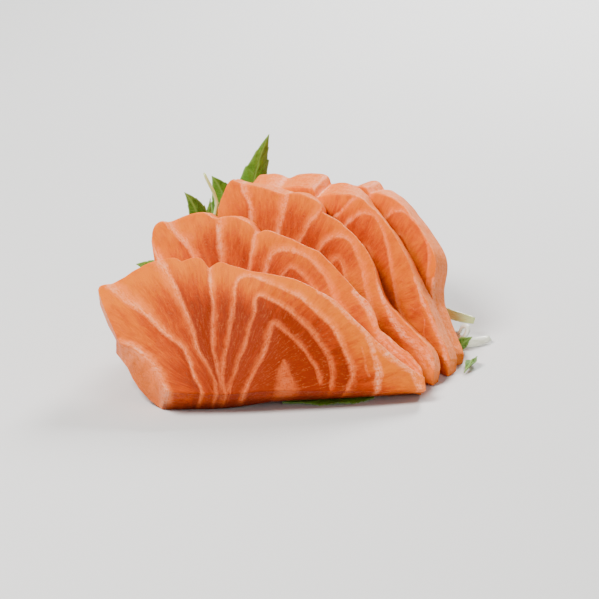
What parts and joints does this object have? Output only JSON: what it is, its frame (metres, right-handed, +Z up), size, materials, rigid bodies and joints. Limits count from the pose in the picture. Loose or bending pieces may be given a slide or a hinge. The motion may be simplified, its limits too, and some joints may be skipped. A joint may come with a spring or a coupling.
{
  "type": "salmon sashimi",
  "caption": "Fanned slices of raw salmon leaning on each other, with serrated green leaves and shredded white radish behind them.",
  "frame": {"origin": "under the middle of the whole, on the surface that it rests on", "axes": "+X along the front slice towards the tails, +Y away from the front, +Z up"},
  "size_m": [0.0946, 0.0838, 0.0427],
  "materials": {
    "salmon": "moist, slightly translucent, with pale bands of fat",
    "leaf": "thin leaf, satin, veined",
    "radish": "moist, translucent white shreds"
  },
  "bodies": {
    "root": {"slice_1": "salmon", "slice_2": "salmon", "slice_3": "salmon", "slice_4": "salmon", "slice_5": "salmon", "leaf_tall": "leaf", "leaf_middle": "leaf", "leaf_left": "leaf", "leaf_short": "leaf", "leaf_low": "leaf", "leaf_base": "leaf", "leaf_right": "leaf", "leaf_curl": "leaf", "radish_heap": "radish", "radish_left": "radish"}
  },
  "joints": []
}
